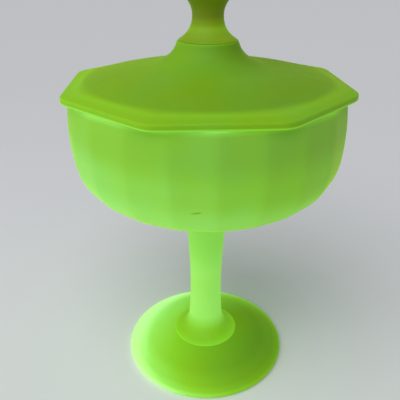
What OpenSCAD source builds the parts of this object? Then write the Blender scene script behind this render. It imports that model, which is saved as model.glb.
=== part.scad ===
// Covered dish on a stem, in pressed and satin-finished glass.
// Base: foot, stem and bowl. Cover: lid and finial, which lift off together.
// Origin: centre of the ring that the foot stands on. +Z is up. Millimetres.

/* [Foot] */
// Diameter of the foot
foot_d = 104.6; // [86:0.2:130]
// Height of the foot's dome, up to the face that carries the stem
foot_h = 13; // [11:0.5:20]
// Thickness of the foot's rounded edge
foot_edge_t = 3.6; // [2.5:0.1:5]
// Glass left between the top of the dome and the hollow under it
foot_wall = 6; // [4:0.5:8]
// Width of the flat ring that the foot stands on
foot_ring_w = 4; // [2.5:0.5:6]

/* [Stem] */
// Height of the stem, from the foot to the bowl
stem_h = 97; // [70:1:130]
// Diameter of the disc at the stem's lower end
stem_disc_d = 42; // [34:0.2:52]
// Thickness of that disc at its edge
stem_disc_t = 0.9; // [0.6:0.1:2]
// Height of the flare between the disc and the shaft
stem_flare_h = 16; // [10:1:24]
// Diameter of the shaft just above the flare
stem_low_d = 21.6; // [17:0.2:28]
// Diameter of the shaft at its waist
stem_waist_d = 19.6; // [15:0.2:24]
// Diameter of the shaft under the bowl
stem_top_d = 26.4; // [20:0.2:32]

/* [Bowl] */
// Greatest diameter of the bowl, over the ridges between its panels
bowl_d = 152; // [125:1:190]
// Height of the bowl, from the stem to its mouth
bowl_h = 70; // [58:1:90]
// Height of the widest place above the bowl's underside
bowl_belly_h = 51; // [42:1:56]
// How far the wall draws in from the widest place to the mouth
bowl_draw_in = 1.6; // [0:0.1:3]
// Thickness of the bowl's wall at a ridge
bowl_wall = 4.6; // [3.5:0.1:7]
// Thickness of the bowl's floor over the stem
bowl_floor = 6.5; // [5:0.5:10]
// Number of flat panels around the bowl
panels = 22; // [16:2:32]
// Turn of the panels about the stem, in degrees
panel_turn = -0.5; // [-8:0.5:8]

/* [Lid] */
// Number of sides of the lid
lid_sides = 8; // [6:1:12]
// How far the middle of a side stands in from the bowl's mouth, over its ridges
lid_side_inset = 0.4; // [0:0.1:1]
// Radius of the lid's corners, seen from above
lid_corner_r = 4; // [2:0.5:8]
// Thickness of the lid's edge
lid_edge_t = 3.4; // [2:0.1:5]
// Width of the sloping border, at the middle of a side
lid_border_w = 8.2; // [6:0.2:14]
// Height of the round shoulder inside the border, above the seat
lid_shoulder_h = 5.6; // [5.2:0.1:10]
// Rise of the dome above its shoulder
lid_dome_rise = 8.2; // [3:0.2:15]
// Thickness of the lid's dome
lid_wall = 4; // [3:0.1:6]

/* [Lid flange] */
// Depth of the flange that drops into the bowl's mouth
flange_depth = 5; // [3:0.5:10]
// Thickness of the flange
flange_wall = 3.5; // [2.5:0.1:5]
// Gap between the flange and the bowl's mouth, all round
flange_gap = 0.7; // [0.4:0.1:2]

/* [Lid boss] */
// Height of the boss that carries the finial, above the top of the dome
boss_h = 11.2; // [9:0.2:16]
// Diameter of the boss at its top
boss_top_d = 32.4; // [26:0.2:40]
// Diameter of the flare where the boss runs out into the dome
boss_flare_d = 76; // [60:1:88]

/* [Finial] */
// How far the finial's lower face stands in from the boss, all round
finial_inset = 0.6; // [0.2:0.1:2]
// Height of the finial's waist above the boss
neck_h = 12.5; // [9:0.5:16]
// Diameter of the finial at its waist
neck_d = 16.2; // [12:0.2:22]
// Height of the knob's widest place above the waist
knob_rise = 17; // [13:0.5:24]
// Diameter of the knob
knob_d = 30; // [25:0.5:40]
// Height of the knob's crown above its widest place
knob_crown_h = 8; // [5:0.5:14]

/* [Hidden] */
$fn = 120;
glass = [0.66, 0.93, 0.25];
eps = 0.01;            // overlap that keeps a cut from leaving a skin
curve_steps = 14;      // straight steps in one free curve
corner_steps = 5;      // straight steps round one corner of the lid

foot_r = foot_d / 2;
stem_disc_r = stem_disc_d / 2;
stem_top_r = stem_top_d / 2;
seat_margin = 0.2;     // how far a seat stands out past the piece on it
foot_seat_r = stem_disc_r + seat_margin;
bowl_seat_r = stem_top_r + seat_margin;

bowl_z = foot_h + stem_h;
rim_z = bowl_z + bowl_h;
bowl_r = bowl_d / 2;
mouth_r = bowl_r - bowl_draw_in;
mouth_bore_r = mouth_r - bowl_wall;

lid_side_r = mouth_r - lid_side_inset;
lid_corner_reach = lid_side_r / cos(180 / lid_sides);
shoulder_r = lid_side_r - lid_border_w;
shoulder_z = rim_z + lid_shoulder_h;
dome_z = shoulder_z + lid_dome_rise;
dome_curve_r = (shoulder_r * shoulder_r + lid_dome_rise * lid_dome_rise) / (2 * lid_dome_rise);
flange_r = mouth_bore_r - flange_gap;
flange_bore_r = flange_r - flange_wall;
boss_z = dome_z + boss_h;
boss_top_r = boss_top_d / 2;
boss_flare_r = boss_flare_d / 2;

finial_base_r = boss_top_r - finial_inset;
neck_r = neck_d / 2;
knob_r = knob_d / 2;

// Points of a cubic curve; from_step = 1 leaves out the first point
function curve(p, from_step = 0) =
    [for (i = [from_step : curve_steps])
        let (t = i / curve_steps, u = 1 - t)
        u * u * u * p[0] + 3 * u * u * t * p[1] + 3 * u * t * t * p[2] + t * t * t * p[3]];

// Height of the dome's outer face at radius r
function dome_at(r) = dome_z - dome_curve_r + sqrt(dome_curve_r * dome_curve_r - r * r);

// Side view of the bowl's outer face, from its underside up to the mouth; side is a
// share of the ridge radius, 1 at a ridge and less at the middle of a flat panel
function bowl_side(side) =
    concat(
        curve([[bowl_seat_r, bowl_z],
               [side * bowl_r * 0.92, bowl_z + bowl_belly_h * 0.21],
               [side * bowl_r, bowl_z + bowl_belly_h * 0.4],
               [side * bowl_r, bowl_z + bowl_belly_h]]),
        [for (i = [1 : 4])
            let (t = i / 4)
            [side * (bowl_r - bowl_draw_in * t * t),
             bowl_z + bowl_belly_h + (bowl_h - bowl_belly_h) * t]]);

// Outline of a regular shape with rounded corners, middle of a side towards +X
function rounded_outline(sides, corner_reach, corner_r) =
    [for (i = [0 : sides - 1], j = [0 : corner_steps])
        let (corner = (i + 0.5) * 360 / sides,
             turn = corner + (j / corner_steps - 0.5) * 360 / sides,
             centre = corner_reach - corner_r / cos(180 / sides))
        [centre * cos(corner) + corner_r * cos(turn), centre * sin(corner) + corner_r * sin(turn)]];

// Round foot: rounded edge, domed top, flat seat for the stem, hollow underneath
module foot() {
    edge_r = foot_edge_t / 2;
    edge = [for (a = [-90 : 15 : 60]) [foot_r - edge_r + edge_r * cos(a), edge_r + edge_r * sin(a)]];
    edge_top = edge[len(edge) - 1];
    dome = curve([edge_top,
                  edge_top + [-0.25 * (foot_r - foot_seat_r), 0.42 * (foot_h - foot_edge_t)],
                  [foot_seat_r + 0.3 * (foot_r - foot_seat_r), foot_h - 0.12 * (foot_h - foot_edge_t)],
                  [foot_seat_r, foot_h]], 1);
    hollow_r = foot_r - edge_r - foot_ring_w;
    hollow_h = foot_h - foot_wall;
    hollow = [for (a = [0 : 7.5 : 90]) [hollow_r * cos(a), hollow_h * sin(a)]];
    color(glass)
        difference() {
            rotate_extrude()
                polygon(concat([[0, 0]], edge, dome, [[0, foot_h]]));
            rotate_extrude()
                polygon(concat([[0, -eps], [hollow_r, -eps]], hollow));
        }
}

// Solid stem: thin disc, concave flare, waisted shaft
module stem() {
    low_z = foot_h + stem_flare_h;
    shaft_h = bowl_z - low_z;
    disc_top = foot_h + stem_disc_t;
    flare = curve([[stem_disc_r, disc_top],
                   [stem_low_d / 2 + 0.36 * (stem_disc_r - stem_low_d / 2), disc_top + 1.3],
                   [stem_low_d / 2 + 0.3, foot_h + 0.38 * stem_flare_h],
                   [stem_low_d / 2, low_z]]);
    shaft = curve([[stem_low_d / 2, low_z],
                   [stem_waist_d / 2 - 0.6, low_z + 0.25 * shaft_h],
                   [stem_waist_d / 2 + 0.1, low_z + 0.53 * shaft_h],
                   [stem_top_r, bowl_z]], 1);
    color(glass)
        rotate_extrude()
            polygon(concat([[0, foot_h], [stem_disc_r, foot_h]], flare, shaft, [[0, bowl_z]]));
}

// Bowl: flat upright panels outside, round and smooth inside
module bowl() {
    panel_side = cos(180 / panels);
    outer = bowl_side(panel_side);
    mirrored = [for (i = [len(outer) - 1 : -1 : 0]) [-outer[i][0], outer[i][1]]];
    inner_r = bowl_r - bowl_wall;
    inner_z = bowl_z + bowl_floor;
    inner_h = bowl_belly_h - bowl_floor;
    inner = concat(
        curve([[0, inner_z],
               [inner_r * 0.9, inner_z + inner_h * 0.16],
               [inner_r, inner_z + inner_h * 0.42],
               [inner_r, inner_z + inner_h]]),
        [[mouth_bore_r, rim_z], [mouth_bore_r, rim_z + eps], [0, rim_z + eps]]);
    color(glass)
        difference() {
            intersection_for (k = [0 : panels / 2 - 1])
                rotate([90, 0, panel_turn + k * 360 / panels])
                    linear_extrude(height = 2 * bowl_d, center = true)
                        polygon(concat(outer, mirrored));
            rotate_extrude()
                polygon(inner);
        }
}

// Lid: eight-sided border, round dome, boss for the finial, flange underneath
module lid() {
    cavity_z = dome_z - lid_wall;
    cavity_curve_r = dome_curve_r - lid_wall;
    cavity = [for (i = [0 : curve_steps])
        let (r = flange_bore_r * (1 - i / curve_steps))
        [r, cavity_z - cavity_curve_r + sqrt(cavity_curve_r * cavity_curve_r - r * r)]];
    dome = [for (i = [0 : curve_steps])
        let (r = shoulder_r + (boss_flare_r - shoulder_r) * i / curve_steps)
        [r, dome_at(r)]];
    boss_drop = boss_z - dome_at(boss_flare_r);
    boss = curve([[boss_flare_r, dome_at(boss_flare_r)],
                  [boss_top_r + 0.45 * (boss_flare_r - boss_top_r), dome_at(boss_flare_r) + 0.09 * boss_drop],
                  [boss_top_r + 1.6, dome_at(boss_flare_r) + 0.45 * boss_drop],
                  [boss_top_r, boss_z]], 1);
    color(glass)
        difference() {
            union() {
                hull() {
                    translate([0, 0, rim_z])
                        linear_extrude(height = lid_edge_t)
                            polygon(rounded_outline(lid_sides, lid_corner_reach, lid_corner_r));
                    translate([0, 0, rim_z])
                        cylinder(h = lid_shoulder_h, r = shoulder_r, $fn = 96);
                }
                rotate_extrude()
                    polygon(concat([[0, rim_z + eps], [shoulder_r, rim_z + eps]], dome, boss, [[0, boss_z]]));
                translate([0, 0, rim_z - flange_depth])
                    cylinder(h = flange_depth + lid_edge_t, r = flange_r);
            }
            rotate_extrude()
                polygon(concat([[0, rim_z - flange_depth - eps], [flange_bore_r, rim_z - flange_depth - eps]],
                               cavity));
        }
}

// Finial: flared foot, waisted neck and rounded knob
module finial() {
    neck_z = boss_z + neck_h;
    knob_z = neck_z + knob_rise;
    lower = curve([[finial_base_r, boss_z + 0.3],
                   [neck_r + 0.35 * (finial_base_r - neck_r), boss_z + 0.24 * neck_h],
                   [neck_r, boss_z + 0.52 * neck_h],
                   [neck_r, neck_z]]);
    upper = curve([[neck_r, neck_z],
                   [neck_r, neck_z + 0.42 * knob_rise],
                   [knob_r, neck_z + 0.5 * knob_rise],
                   [knob_r, knob_z]], 1);
    crown = [for (a = [7.5 : 7.5 : 90]) [knob_r * cos(a), knob_z + knob_crown_h * sin(a)]];
    color(glass)
        rotate_extrude()
            polygon(concat([[0, boss_z], [finial_base_r, boss_z]], lower, upper, crown));
}

foot();
stem();
bowl();
lid();
finial();
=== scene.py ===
import math
import bpy
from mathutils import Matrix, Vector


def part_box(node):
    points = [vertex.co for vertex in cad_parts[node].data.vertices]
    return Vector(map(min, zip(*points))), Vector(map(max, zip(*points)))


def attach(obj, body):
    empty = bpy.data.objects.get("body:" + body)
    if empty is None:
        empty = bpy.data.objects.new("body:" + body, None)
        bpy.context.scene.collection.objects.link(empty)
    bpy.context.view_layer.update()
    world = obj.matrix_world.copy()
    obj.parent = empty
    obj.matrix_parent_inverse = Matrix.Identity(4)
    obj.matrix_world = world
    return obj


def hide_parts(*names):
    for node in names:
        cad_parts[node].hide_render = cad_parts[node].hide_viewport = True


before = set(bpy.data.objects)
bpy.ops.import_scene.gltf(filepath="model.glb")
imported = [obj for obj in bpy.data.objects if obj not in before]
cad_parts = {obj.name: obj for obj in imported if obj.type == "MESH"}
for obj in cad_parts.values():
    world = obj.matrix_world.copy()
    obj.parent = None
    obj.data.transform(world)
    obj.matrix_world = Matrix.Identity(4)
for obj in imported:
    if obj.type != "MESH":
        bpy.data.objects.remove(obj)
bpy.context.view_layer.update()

# ---------------------------------------------------------------------------
# Studio: a camera close in front, looking down onto the cover, a plain pale
# floor, a soft lamp on the left and the even light of a pale ceiling.
# ---------------------------------------------------------------------------
eye = (-0.0190, -0.2619, 0.2445)
tilt_down = 26.9
lean = -0.09
turned_right = -3.25
bpy.ops.object.camera_add(
    location=eye,
    rotation=(math.radians(90 - tilt_down), math.radians(lean), math.radians(turned_right)),
)
camera = bpy.context.object
camera.name = "camera"
camera.data.lens = 43.53
camera.data.sensor_width = 36
camera.data.clip_start = 0.01
bpy.context.scene.camera = camera

floor_size = 12
bpy.ops.mesh.primitive_plane_add(size=floor_size, location=(0, 0, 0))
floor = bpy.context.object
floor.name = "floor"
floor_paint = bpy.data.materials.new("floor_paint")
floor_paint.use_nodes = True
floor_shader = floor_paint.node_tree.nodes["Principled BSDF"]
floor_shader.inputs["Base Color"].default_value = (0.66, 0.67, 0.70, 1)
floor_shader.inputs["Roughness"].default_value = 0.8
floor.data.materials.append(floor_paint)

room_light = bpy.data.worlds.new("room_light")
room_light.use_nodes = True
room_light.node_tree.nodes["Background"].inputs["Color"].default_value = (0.92, 0.95, 1.0, 1)
room_light.node_tree.nodes["Background"].inputs["Strength"].default_value = 0.26
bpy.context.scene.world = room_light
bpy.context.scene.view_settings.view_transform = "Standard"

# The soft lamp is turned so that its beam meets the lower half of the dish
lamp_at = (-0.55, -0.22, 0.28)
lamp_aim = (-0.02, 0, 0.08)
beam = [aim - at for aim, at in zip(lamp_aim, lamp_at)]
beam_fall = math.atan2(math.hypot(beam[0], beam[1]), -beam[2])
beam_turn = math.atan2(beam[1], beam[0]) - math.pi / 2
bpy.ops.object.light_add(type="AREA", location=lamp_at)
lamp = bpy.context.object
lamp.name = "key_left"
lamp.rotation_euler = (beam_fall, 0, beam_turn)
lamp.data.size = 0.35
lamp.data.spread = math.radians(160)
lamp.data.energy = 0.6
lamp.data.color = (0.98, 1.0, 0.96)

# The ceiling's light comes down evenly from a wide patch overhead
bpy.ops.object.light_add(type="SUN", rotation=(math.radians(33), 0, math.radians(-30)))
ceiling = bpy.context.object
ceiling.name = "ceiling"
ceiling.data.energy = 2.1
ceiling.data.angle = math.radians(60)
ceiling.data.color = (1.0, 0.99, 0.96)


# ---------------------------------------------------------------------------
# Foot: a round pressed disc with a rounded edge, a low dome on top and a
# shallow hollow underneath. It stands on a ground ring just inside its edge.
# ---------------------------------------------------------------------------
def curve(a, b, c, d, steps, first=0):
    """Points of a free curve from a to d that leaves along a-b and arrives along c-d."""
    found = []
    for i in range(first, steps + 1):
        t = i / steps
        u = 1 - t
        weights = (u ** 3, 3 * u * u * t, 3 * u * t * t, t ** 3)
        found.append(tuple(sum(w * p[k] for w, p in zip(weights, (a, b, c, d))) for k in (0, 1)))
    return found


def arc(centre, across, up, start, end, steps):
    """Points round part of an ellipse, with its angles in degrees."""
    found = []
    for i in range(steps + 1):
        turn = math.radians(start + (end - start) * i / steps)
        found.append((centre[0] + across * math.cos(turn), centre[1] + up * math.sin(turn)))
    return found


def start_ring(name, radius, height, corners):
    """A circle of edges round the stem's axis, open for editing with all of it selected."""
    bpy.ops.object.select_all(action="DESELECT")
    bpy.ops.mesh.primitive_circle_add(vertices=corners, radius=radius, location=(0, 0, height))
    bpy.context.object.name = name
    bpy.ops.object.mode_set(mode="EDIT")
    bpy.ops.mesh.select_mode(type="EDGE")
    bpy.ops.mesh.select_all(action="SELECT")
    return bpy.context.object


def draw_out(path):
    """Extrudes the selected ring from each point of a side view (radius, height) to the next."""
    for (r0, z0), (r1, z1) in zip(path, path[1:]):
        bpy.ops.mesh.extrude_edges_move(TRANSFORM_OT_translate={"value": (0, 0, z1 - z0)})
        bpy.ops.transform.resize(value=(r1 / r0, r1 / r0, 1), center_override=(0, 0, z1))


def close_ring():
    """Closes the selected ring with faces that meet at one point on the axis."""
    bpy.ops.mesh.extrude_edges_move()
    bpy.ops.mesh.merge(type="CENTER")


def close_start():
    """Closes the ring that the piece was started from."""
    bpy.ops.mesh.select_all(action="DESELECT")
    bpy.ops.mesh.select_non_manifold()
    close_ring()


def finish_glass(piece, rounds):
    """Turns the faces outwards, smooths the form and leaves it at the origin."""
    bpy.ops.mesh.select_all(action="SELECT")
    bpy.ops.mesh.normals_make_consistent(inside=False)
    bpy.ops.object.mode_set(mode="OBJECT")
    bpy.ops.object.modifier_add(type="SUBSURF")
    smoothing = piece.modifiers[-1]
    smoothing.levels = rounds
    smoothing.render_levels = rounds
    bpy.ops.object.modifier_apply(modifier=smoothing.name)
    bpy.ops.object.transform_apply(location=True, rotation=True, scale=True)
    bpy.ops.object.shade_smooth_by_angle(angle=math.radians(40))


# Colours of the painted glow, an emission that stands in for fluorescence under an ultraviolet lamp, from
# its faintest to its strongest
painted_glow_colours = [
    (0.0, (0.005, 0.010, 0.000)),
    (0.25, (0.060, 0.130, 0.001)),
    (0.5, (0.110, 0.300, 0.008)),
    (0.75, (0.185, 0.520, 0.082)),
    (1.0, (0.420, 0.860, 0.300)),
]
body_yellow = (0.160, 0.335, 0.006)
body_green = (0.138, 0.335, 0.014)
cloud_drift = 0.08
# Painted shading: the glow is painted as if ultraviolet came from the left and front, and glass that faces
# it squarely glows this much more
painted_light_from = (-0.93, -0.37, 0)
painted_facing_gain = 0.19


def colour_ramp(nodes, stops, interpolation):
    """A ramp from pairs of a place between 0 and 1 and a colour."""
    ramp = nodes.new("ShaderNodeValToRGB")
    ramp.color_ramp.interpolation = interpolation
    while len(ramp.color_ramp.elements) < len(stops):
        ramp.color_ramp.elements.new(0.5)
    for element, (at, colour) in zip(ramp.color_ramp.elements, stops):
        element.position = at
        element.color = (*colour, 1)
    return ramp


def noise(nodes, links, place, scale, detail):
    """A noise pattern that is fixed to the piece."""
    found = nodes.new("ShaderNodeTexNoise")
    found.inputs["Scale"].default_value = scale
    found.inputs["Detail"].default_value = detail
    links.new(place.outputs["Object"], found.inputs["Vector"])
    return found


def painted_glow_along(nodes, links, place, across, painted_glow):
    """How strongly the painted glow shines, by its height or by its distance from the axis."""
    lowest = painted_glow[0][0]
    highest = painted_glow[-1][0]
    parts = nodes.new("ShaderNodeSeparateXYZ")
    links.new(place.outputs["Object"], parts.inputs["Vector"])
    reach = nodes.new("ShaderNodeMapRange")
    reach.inputs["From Min"].default_value = lowest
    reach.inputs["From Max"].default_value = highest
    if across == "height":
        links.new(parts.outputs["Z"], reach.inputs["Value"])
    else:
        flat = nodes.new("ShaderNodeCombineXYZ")
        links.new(parts.outputs["X"], flat.inputs["X"])
        links.new(parts.outputs["Y"], flat.inputs["Y"])
        radius = nodes.new("ShaderNodeVectorMath")
        radius.operation = "LENGTH"
        links.new(flat.outputs["Vector"], radius.inputs[0])
        links.new(radius.outputs["Value"], reach.inputs["Value"])
    stops = [((at - lowest) / (highest - lowest), (level, level, level)) for at, level in painted_glow]
    levels = colour_ramp(nodes, stops, "EASE")
    links.new(reach.outputs["Result"], levels.inputs["Fac"])
    return levels.outputs["Color"]


def add_towards(nodes, links, level, vector, direction):
    """Adds to a level of painted glow how far a vector points in a direction."""
    towards = nodes.new("ShaderNodeVectorMath")
    towards.operation = "DOT_PRODUCT"
    towards.inputs[1].default_value = direction
    links.new(vector, towards.inputs[0])
    added = nodes.new("ShaderNodeMath")
    added.operation = "ADD"
    links.new(level, added.inputs[0])
    links.new(towards.outputs["Value"], added.inputs[1])
    return added.outputs["Value"]


def etch(nodes, links, place, shader):
    """Gives the glass an acid's fine even tooth, over a faint ripple from the mould."""
    patches = noise(nodes, links, place, 90, 3)
    etch_depth = nodes.new("ShaderNodeMapRange")
    etch_depth.inputs["To Min"].default_value = 0.44
    etch_depth.inputs["To Max"].default_value = 0.60
    links.new(patches.outputs["Fac"], etch_depth.inputs["Value"])
    links.new(etch_depth.outputs["Result"], shader.inputs["Roughness"])
    ripple = noise(nodes, links, place, 70, 1)
    broad = nodes.new("ShaderNodeBump")
    broad.inputs["Strength"].default_value = 0.10
    broad.inputs["Distance"].default_value = 0.0015
    links.new(ripple.outputs["Fac"], broad.inputs["Height"])
    tooth = noise(nodes, links, place, 2600, 2)
    fine = nodes.new("ShaderNodeBump")
    fine.inputs["Strength"].default_value = 0.15
    fine.inputs["Distance"].default_value = 0.0002
    links.new(tooth.outputs["Fac"], fine.inputs["Height"])
    links.new(broad.outputs["Normal"], fine.inputs["Normal"])
    links.new(fine.outputs["Normal"], shader.inputs["Normal"])


def satin_glass(name, across, painted_glow, body=(body_yellow, body_green), painted_facing=painted_facing_gain, painted_side_light=None):
    """Satin uranium glass: milky inside, etched outside, and given a painted glow as its emission.

    across is "height" or "radius". The painted glow list holds pairs of a height or a radius and
    how strongly the painted glow shines there, from 0 to 1. The facing number is painted shading: how
    much more it glows where it faces the painted light's direction squarely. The fade is painted side
    light: how the glow changes per metre of X, Y and Z.
    """
    made = bpy.data.materials.new(name)
    made.use_nodes = True
    nodes = made.node_tree.nodes
    links = made.node_tree.links
    shader = nodes["Principled BSDF"]
    shader.inputs["IOR"].default_value = 1.5
    shader.inputs["Specular IOR Level"].default_value = 0.15
    shader.inputs["Subsurface Weight"].default_value = 0.7
    shader.inputs["Subsurface Radius"].default_value = (0.6, 1.0, 0.25)
    shader.inputs["Subsurface Scale"].default_value = 0.004
    shader.inputs["Sheen Weight"].default_value = 1.0
    shader.inputs["Sheen Roughness"].default_value = 0.25
    shader.inputs["Sheen Tint"].default_value = (0.48, 0.74, 0.03, 1)
    shader.inputs["Emission Strength"].default_value = 1.0
    place = nodes.new("ShaderNodeTexCoord")

    # The melt is not quite even, so its colour drifts between yellow and green
    clouds = noise(nodes, links, place, 26, 2)
    melt = colour_ramp(nodes, [(0.35, body[0]), (0.65, body[1])], "EASE")
    links.new(clouds.outputs["Fac"], melt.inputs["Fac"])
    links.new(melt.outputs["Color"], shader.inputs["Base Color"])

    # The painted glow drifts with the melt, and its painted shading changes with how the glass faces the
    # painted light's direction
    drift = nodes.new("ShaderNodeMath")
    drift.operation = "MULTIPLY_ADD"
    drift.inputs[1].default_value = cloud_drift
    links.new(clouds.outputs["Fac"], drift.inputs[0])
    links.new(painted_glow_along(nodes, links, place, across, painted_glow), drift.inputs[2])
    # Painted shading: faces that point to the left and front glow more, as if a lamp shone from there
    painted_facing_direction = [painted_facing * part for part in painted_light_from]
    reached = add_towards(nodes, links, drift.outputs["Value"], place.outputs["Normal"], painted_facing_direction)
    # Painted side light: the glow grows along a fixed direction across the piece, brighter on the side
    # towards the lamp
    if painted_side_light:
        reached = add_towards(nodes, links, reached, place.outputs["Object"], painted_side_light)
    # Painted glow: the level picks an emission colour, so the glass shines with no lamp to light it
    painted_glow_tint = colour_ramp(nodes, painted_glow_colours, "LINEAR")
    painted_glow_tint.name = "painted_glow_ramp"
    links.new(reached, painted_glow_tint.inputs["Fac"])
    links.new(painted_glow_tint.outputs["Color"], shader.inputs["Emission Color"])

    etch(nodes, links, place, shader)
    return made


round_corners = 64
pole_r = 0.004
seat_lap = 0.0002
foot_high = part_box("foot")[1]
stem_low, stem_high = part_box("stem")
foot_r = foot_high.x
foot_top = foot_high.z
foot_seat_r = stem_high.x + seat_lap
foot_seat_soft = 0.0006
foot_edge_r = 0.0018
foot_ring_w = 0.004
foot_ring_soft = 0.0004
foot_wall = 0.006
foot_flat_r = foot_r - foot_edge_r - foot_ring_soft
hollow_r = foot_r - foot_edge_r - foot_ring_w
hollow_h = foot_top - foot_wall
dome_rise = foot_top - 2 * foot_edge_r
dome_run = foot_r - foot_seat_r

foot = start_ring("foot_glass", pole_r, hollow_h, round_corners)
foot_hollow = arc((0, 0), hollow_r, hollow_h, 84, 4, 9)
foot_edge = arc((foot_r - foot_edge_r, foot_edge_r), foot_edge_r, foot_edge_r, -75, 60, 6)
foot_dome = curve(
    foot_edge[-1],
    (foot_edge[-1][0] - 0.25 * dome_run, foot_edge[-1][1] + 0.42 * dome_rise),
    (foot_seat_r + 0.3 * dome_run, foot_top - 0.12 * dome_rise),
    (foot_seat_r, foot_top),
    9,
    1,
)
draw_out([
    (pole_r, hollow_h),
    *foot_hollow,
    (hollow_r, foot_ring_soft),
    (hollow_r + foot_ring_soft, 0),
    (foot_flat_r, 0),
    *foot_edge,
    *foot_dome,
    (foot_seat_r - foot_seat_soft, foot_top),
    (pole_r, foot_top),
])
close_ring()
close_start()
finish_glass(foot, 2)
# Painted glow: brighter towards the rounded edge, a painted highlight round the rim
foot_painted_glow = [(0.020, 0.36), (0.036, 0.38), (0.046, 0.52), (0.050, 0.65), (foot_r, 0.84)]
# Painted side light: the foot glows brighter on its left and on its back
foot_painted_side_light = (-8.8, 5.2, 0)
foot.data.materials.append(satin_glass("foot_satin", "radius", foot_painted_glow, painted_facing=0.05, painted_side_light=foot_painted_side_light))
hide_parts("foot")
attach(foot, "base")

# ---------------------------------------------------------------------------
# Stem: one solid rod of glass, drawn in to a waist. Its lower end is pressed
# out into a thin round disc, and its upper end carries the bowl.
# ---------------------------------------------------------------------------
disc_t = 0.0009
disc_soft = 0.0006
disc_lip = 0.0004
flare_h = 0.016
shaft_low_r = 0.0108
shaft_waist_r = 0.0098
shaft_top_r = 0.0132
shaft_soft = 0.0002
disc_r = stem_high.x
disc_top = stem_low.z + disc_t
shaft_low = stem_low.z + flare_h
shaft_top = stem_high.z
shaft_h = shaft_top - shaft_low

stem = start_ring("stem_glass", pole_r, stem_low.z, round_corners)
stem_flare = curve(
    (disc_r - disc_lip, disc_top),
    (shaft_low_r + 0.36 * (disc_r - shaft_low_r), disc_top + 0.0013),
    (shaft_low_r + 0.0003, stem_low.z + 0.38 * flare_h),
    (shaft_low_r, shaft_low),
    9,
)
stem_shaft = curve(
    (shaft_low_r, shaft_low),
    (shaft_waist_r - 0.0006, shaft_low + 0.25 * shaft_h),
    (shaft_waist_r + 0.0001, shaft_low + 0.53 * shaft_h),
    (shaft_top_r, shaft_top - shaft_soft),
    10,
    1,
)
draw_out([
    (pole_r, stem_low.z),
    (disc_r - disc_soft, stem_low.z),
    (disc_r - 0.25 * disc_soft, stem_low.z + 0.0001),
    (disc_r, stem_low.z + 0.45 * disc_t),
    *stem_flare,
    *stem_shaft,
    (shaft_top_r - 2 * shaft_soft, shaft_top),
    (pole_r, shaft_top),
])
close_ring()
close_start()
finish_glass(stem, 2)
# Painted glow: strongest low on the rod, from its flare up to its waist, and weaker at the top
stem_painted_glow = [
    (stem_low.z, 0.52),
    (disc_top, 0.48),
    (disc_top + 0.0016, 0.42),
    (shaft_low, 0.74),
    (stem_low.z + 0.047, 0.74),
    (stem_low.z + 0.077, 0.64),
    (shaft_top, 0.55),
]
stem.data.materials.append(satin_glass("stem_satin", "height", stem_painted_glow, painted_facing=0.02))
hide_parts("stem")
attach(stem, "base")

# ---------------------------------------------------------------------------
# Bowl: pressed in a mould that gives it flat upright panels outside and a
# smooth round inside. Its mouth is ground flat to take the cover.
# ---------------------------------------------------------------------------
bowl_low, bowl_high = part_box("bowl")
panels = 22
panel_turn = math.radians(-0.5)
panel_cuts = 5
ridge_r = 0.076
belly_h = 0.051
draw_in = 0.0016
wall = 0.0046
floor_t = 0.0065
rim_soft = 0.0006
floor_pole_r = 0.003
bowl_seat_r = shaft_top_r + seat_lap
mouth_r = ridge_r - draw_in
bore_r = mouth_r - wall
belly_z = bowl_low.z + belly_h
rim_z = bowl_high.z


def ring_radius(piece):
    """Mean distance of the selected ring from the axis."""
    bpy.ops.object.mode_set(mode="OBJECT")
    chosen = [v for v in piece.data.vertices if v.select]
    bpy.ops.object.mode_set(mode="EDIT")
    return sum(math.hypot(v.co.x, v.co.y) for v in chosen) / len(chosen)


bowl = start_ring("bowl_glass", bowl_seat_r, bowl_low.z, panels)
bpy.ops.transform.rotate(value=-panel_turn, orient_axis="Z", center_override=(0, 0, bowl_low.z))
bpy.ops.mesh.subdivide(number_cuts=panel_cuts)
bowl_under = curve(
    (bowl_seat_r, bowl_low.z),
    (ridge_r * 0.92, bowl_low.z + belly_h * 0.21),
    (ridge_r, bowl_low.z + belly_h * 0.4),
    (ridge_r, belly_z),
    16,
)
upper_steps = 4
bowl_upper = []
for i in range(1, upper_steps):
    t = i / upper_steps
    bowl_upper.append((ridge_r - draw_in * t * t, belly_z + (rim_z - belly_z) * t))
draw_out([
    *bowl_under,
    *bowl_upper,
    (mouth_r, rim_z - rim_soft),
    (mouth_r - 0.3 * rim_soft, rim_z - 0.2 * rim_soft),
    (mouth_r - rim_soft, rim_z),
])
bpy.ops.mesh.extrude_edges_move()
bpy.ops.transform.tosphere(value=1)
inner_r = ridge_r - wall
inner_low = bowl_low.z + floor_t
inner_h = belly_h - floor_t
bowl_inside = curve(
    (inner_r, inner_low + inner_h),
    (inner_r, inner_low + inner_h * 0.42),
    (inner_r * 0.9, inner_low + inner_h * 0.16),
    (floor_pole_r, inner_low),
    14,
)
draw_out([(ring_radius(bowl), rim_z), (bore_r + rim_soft, rim_z), (bore_r, rim_z - rim_soft), *bowl_inside])
close_ring()
close_start()
finish_glass(bowl, 1)
# Painted glow: brightest low down and fading upwards, with a painted bright line at the rim
bowl_painted_glow = [
    (bowl_low.z, 0.78),
    (bowl_low.z + 0.008, 0.70),
    (bowl_low.z + 0.022, 0.59),
    (bowl_low.z + 0.040, 0.43),
    (bowl_low.z + 0.058, 0.28),
    (rim_z - 0.003, 0.28),
    (rim_z - 0.001, 0.42),
    (rim_z, 0.58),
]
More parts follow.
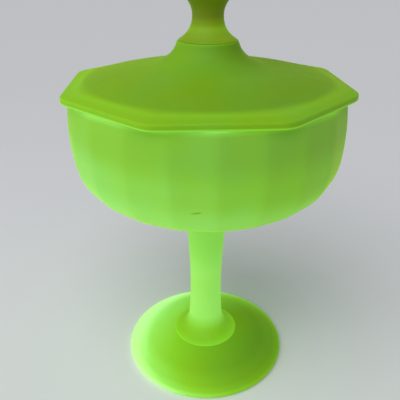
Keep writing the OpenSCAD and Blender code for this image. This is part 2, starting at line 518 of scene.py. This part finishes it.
# The bowl's base colour is bluer than the rest: partly its milky satin, partly a painted reflection of the
# lamp's violet light on its front
bowl_milky_and_reflection_body = ((0.150, 0.320, 0.034), (0.132, 0.315, 0.056))
bowl.data.materials.append(satin_glass("bowl_satin", "height", bowl_painted_glow, bowl_milky_and_reflection_body))

# A short dark scuff low on the front, made by lowering the painted glow there
bowl_nodes = bowl.data.materials[0].node_tree.nodes
bowl_links = bowl.data.materials[0].node_tree.links
scuff_at = (-0.0098, -0.0735, 0.1416)
scuff_size = (0.0036, 0.004, 0.0008)
scuff_lean = math.radians(-12)
scuff_depth = -0.32
spot = bowl_nodes.new("ShaderNodeMapping")
spot.vector_type = "TEXTURE"
spot.inputs["Location"].default_value = scuff_at
spot.inputs["Rotation"].default_value = (0, scuff_lean, 0)
spot.inputs["Scale"].default_value = scuff_size
bowl_links.new(bowl_nodes["Texture Coordinate"].outputs["Object"], spot.inputs["Vector"])
off = bowl_nodes.new("ShaderNodeVectorMath")
off.operation = "LENGTH"
bowl_links.new(spot.outputs["Vector"], off.inputs[0])
rub = bowl_nodes.new("ShaderNodeMapRange")
rub.interpolation_type = "SMOOTHSTEP"
rub.inputs["From Min"].default_value = 0.2
rub.inputs["To Min"].default_value = scuff_depth
rub.inputs["To Max"].default_value = 0
bowl_links.new(off.outputs["Value"], rub.inputs["Value"])
rubbed = bowl_nodes.new("ShaderNodeMath")
rubbed.operation = "ADD"
glow_in = bowl_nodes["painted_glow_ramp"].inputs["Fac"]
bowl_links.new(glow_in.links[0].from_socket, rubbed.inputs[0])
bowl_links.new(rub.outputs["Result"], rubbed.inputs[1])
bowl_links.new(rubbed.outputs["Value"], glow_in)
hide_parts("bowl")
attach(bowl, "base")

# ---------------------------------------------------------------------------
# Lid: pressed in one piece, eight-sided at its edge and round at its dome,
# with a sloping border between them. A flange under it drops into the bowl's
# mouth, and the low boss on top carries the finial.
# ---------------------------------------------------------------------------
lid_low, lid_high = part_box("lid")
sides = 8
side_cuts = 21
side_r = lid_high.x
corner_reach = side_r / math.cos(math.pi / sides)
edge_t = 0.0034
edge_soft = 0.0008
border_w = 0.0082
border_steps = 5
border_roundness = 0.25
shoulder_r = side_r - border_w
shoulder_rise = 0.0056
shoulder_z = rim_z + shoulder_rise
lid_rise = 0.0082
dome_z = shoulder_z + lid_rise
lid_wall = 0.004
flange_gap = 0.0007
flange_wall = 0.0035
flange_r = bore_r - flange_gap
flange_bore_r = flange_r - flange_wall
flange_low = lid_low.z
flange_soft = 0.0006
cavity_soft = 0.001
boss_top_r = 0.0162
boss_soft = 0.0006
boss_flare_r = 0.038
boss_z = lid_high.z
dome_curve_r = (shoulder_r ** 2 + lid_rise ** 2) / (2 * lid_rise)


def dome_at(radius, top, curve_r):
    """Height of a round dome at a radius."""
    return top - curve_r + math.sqrt(curve_r * curve_r - radius * radius)


def draw_round(piece, radius, rise, roundness):
    """Extrudes the selected ring upwards, makes it rounder, and sets its mean radius."""
    bpy.ops.mesh.extrude_edges_move(TRANSFORM_OT_translate={"value": (0, 0, rise)})
    bpy.ops.transform.tosphere(value=roundness)
    ratio = radius / ring_radius(piece)
    bpy.ops.transform.resize(value=(ratio, ratio, 1), center_override=(0, 0, 0))


lid = start_ring("lid_glass", corner_reach, rim_z, sides)
bpy.ops.transform.rotate(value=math.pi / sides, orient_axis="Z", center_override=(0, 0, rim_z))
bpy.ops.mesh.subdivide(number_cuts=side_cuts)
bpy.ops.mesh.vertices_smooth(factor=0.5, repeat=3)
edge_r = ring_radius(lid)
edge_z = rim_z + edge_t
draw_out([
    (edge_r, rim_z),
    (edge_r, edge_z - edge_soft),
    (edge_r - 0.3 * edge_soft, edge_z - 0.25 * edge_soft),
    (edge_r - edge_soft, edge_z),
])
border_run = edge_r - edge_soft - shoulder_r
for i in range(1, border_steps + 1):
    t = i / border_steps
    roundness = 1 if i == border_steps else border_roundness * t
    draw_round(lid, edge_r - edge_soft - border_run * t, (shoulder_z - edge_z) / border_steps, roundness)
dome_steps = 7
dome_path = []
for i in range(dome_steps + 1):
    radius = shoulder_r + (boss_flare_r - shoulder_r) * i / dome_steps
    dome_path.append((radius, dome_at(radius, dome_z, dome_curve_r)))
flare_z = dome_path[-1][1]
boss_drop = boss_z - flare_z
boss_path = curve(
    (boss_flare_r, flare_z),
    (boss_top_r + 0.45 * (boss_flare_r - boss_top_r), flare_z + 0.09 * boss_drop),
    (boss_top_r + 0.0016, flare_z + 0.45 * boss_drop),
    (boss_top_r, boss_z - boss_soft),
    9,
    1,
)
draw_out([
    *dome_path,
    *boss_path,
    (boss_top_r - 0.5 * boss_soft, boss_z - 0.0001),
    (boss_top_r - edge_soft, boss_z),
    (pole_r, boss_z),
])
close_ring()
bpy.ops.mesh.select_all(action="DESELECT")
bpy.ops.mesh.select_non_manifold()
draw_out([(edge_r, rim_z), (edge_r - 0.6 * edge_soft, rim_z)])
draw_round(lid, flange_r + flange_soft, 0, 1)
cavity_steps = 9
cavity_path = []
for i in range(1, cavity_steps):
    radius = flange_bore_r * (1 - i / cavity_steps)
    cavity_path.append((radius, dome_at(radius, dome_z - lid_wall, dome_curve_r - lid_wall)))
cavity_edge_z = dome_at(flange_bore_r, dome_z - lid_wall, dome_curve_r - lid_wall)
draw_out([
    (flange_r + flange_soft, rim_z),
    (flange_r, rim_z - flange_soft),
    (flange_r, flange_low + flange_soft),
    (flange_r - flange_soft, flange_low),
    (flange_bore_r + flange_soft, flange_low),
    (flange_bore_r, flange_low + flange_soft),
    (flange_bore_r, cavity_edge_z - cavity_soft),
    (flange_bore_r - cavity_soft, cavity_edge_z),
    *cavity_path,
])
close_ring()
finish_glass(lid, 1)
# Painted glow: a painted bright line at the lid's lower edge, a lighter border and a darker dome
lid_painted_glow = [
    (flange_low, 0.34),
    (rim_z - 0.0012, 0.38),
    (rim_z - 0.0002, 0.56),
    (rim_z + 0.0006, 0.52),
    (rim_z + 0.0013, 0.20),
    (edge_z - 0.0006, 0.20),
    (edge_z + 0.0004, 0.22),
    (shoulder_z - 0.0008, 0.28),
    (shoulder_z + 0.0006, 0.01),
    (shoulder_z + 0.0059, 0.03),
    (boss_z - 0.008, 0.0),
    (boss_z - 0.002, 0.0),
    (boss_z, 0.04),
]
# Painted side light: the lid glows a little brighter on its left
lid_painted_side_light = (-1.3, 0.1, 0)
lid.data.materials.append(satin_glass("lid_satin", "height", lid_painted_glow, painted_facing=0.07, painted_side_light=lid_painted_side_light))
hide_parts("lid")
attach(lid, "cover")

# ---------------------------------------------------------------------------
# Finial: a pressed solid knob with a narrow neck, to lift the cover by. Its
# flared foot is fused onto the lid's boss.
# ---------------------------------------------------------------------------
finial_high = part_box("finial")[1]
boss_ledge = 0.0006
finial_base_r = boss_top_r - boss_ledge
finial_base_soft = 0.0002
neck_r = 0.0081
neck_h = 0.0125
knob_r = 0.015
knob_rise = 0.017
neck_z = boss_z + neck_h
knob_z = neck_z + knob_rise
crown_h = finial_high.z - knob_z

finial = start_ring("finial_glass", pole_r, boss_z, round_corners)
finial_lower = curve(
    (finial_base_r, boss_z + finial_base_soft),
    (neck_r + 0.35 * (finial_base_r - neck_r), boss_z + 0.24 * neck_h),
    (neck_r, boss_z + 0.52 * neck_h),
    (neck_r, neck_z),
    8,
)
finial_upper = curve(
    (neck_r, neck_z),
    (neck_r, neck_z + 0.42 * knob_rise),
    (knob_r, neck_z + 0.5 * knob_rise),
    (knob_r, knob_z),
    8,
    1,
)
finial_crown = arc((0, knob_z), knob_r, crown_h, 15, 80, 5)
draw_out([
    (pole_r, boss_z),
    (finial_base_r - finial_base_soft, boss_z),
    *finial_lower,
    *finial_upper,
    *finial_crown,
])
close_ring()
close_start()
finish_glass(finial, 2)
# Painted glow: strongest just above the boss, and dim over the neck and knob
finial_painted_glow = [
    (boss_z, 0.24),
    (boss_z + 0.003, 0.30),
    (boss_z + 0.006, 0.38),
    (boss_z + 0.009, 0.22),
    (neck_z, 0.08),
    (knob_z, 0.08),
    (finial_high.z, 0.12),
]
# Painted shade: the knob's glass gets a darker, more olive base colour than the rest, because it lies
# farthest from the light
finial_shaded_body = ((0.155, 0.170, 0.004), (0.120, 0.165, 0.008))
finial.data.materials.append(satin_glass("finial_satin", "height", finial_painted_glow, finial_shaded_body, painted_facing=0.01))
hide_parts("finial")
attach(finial, "cover")
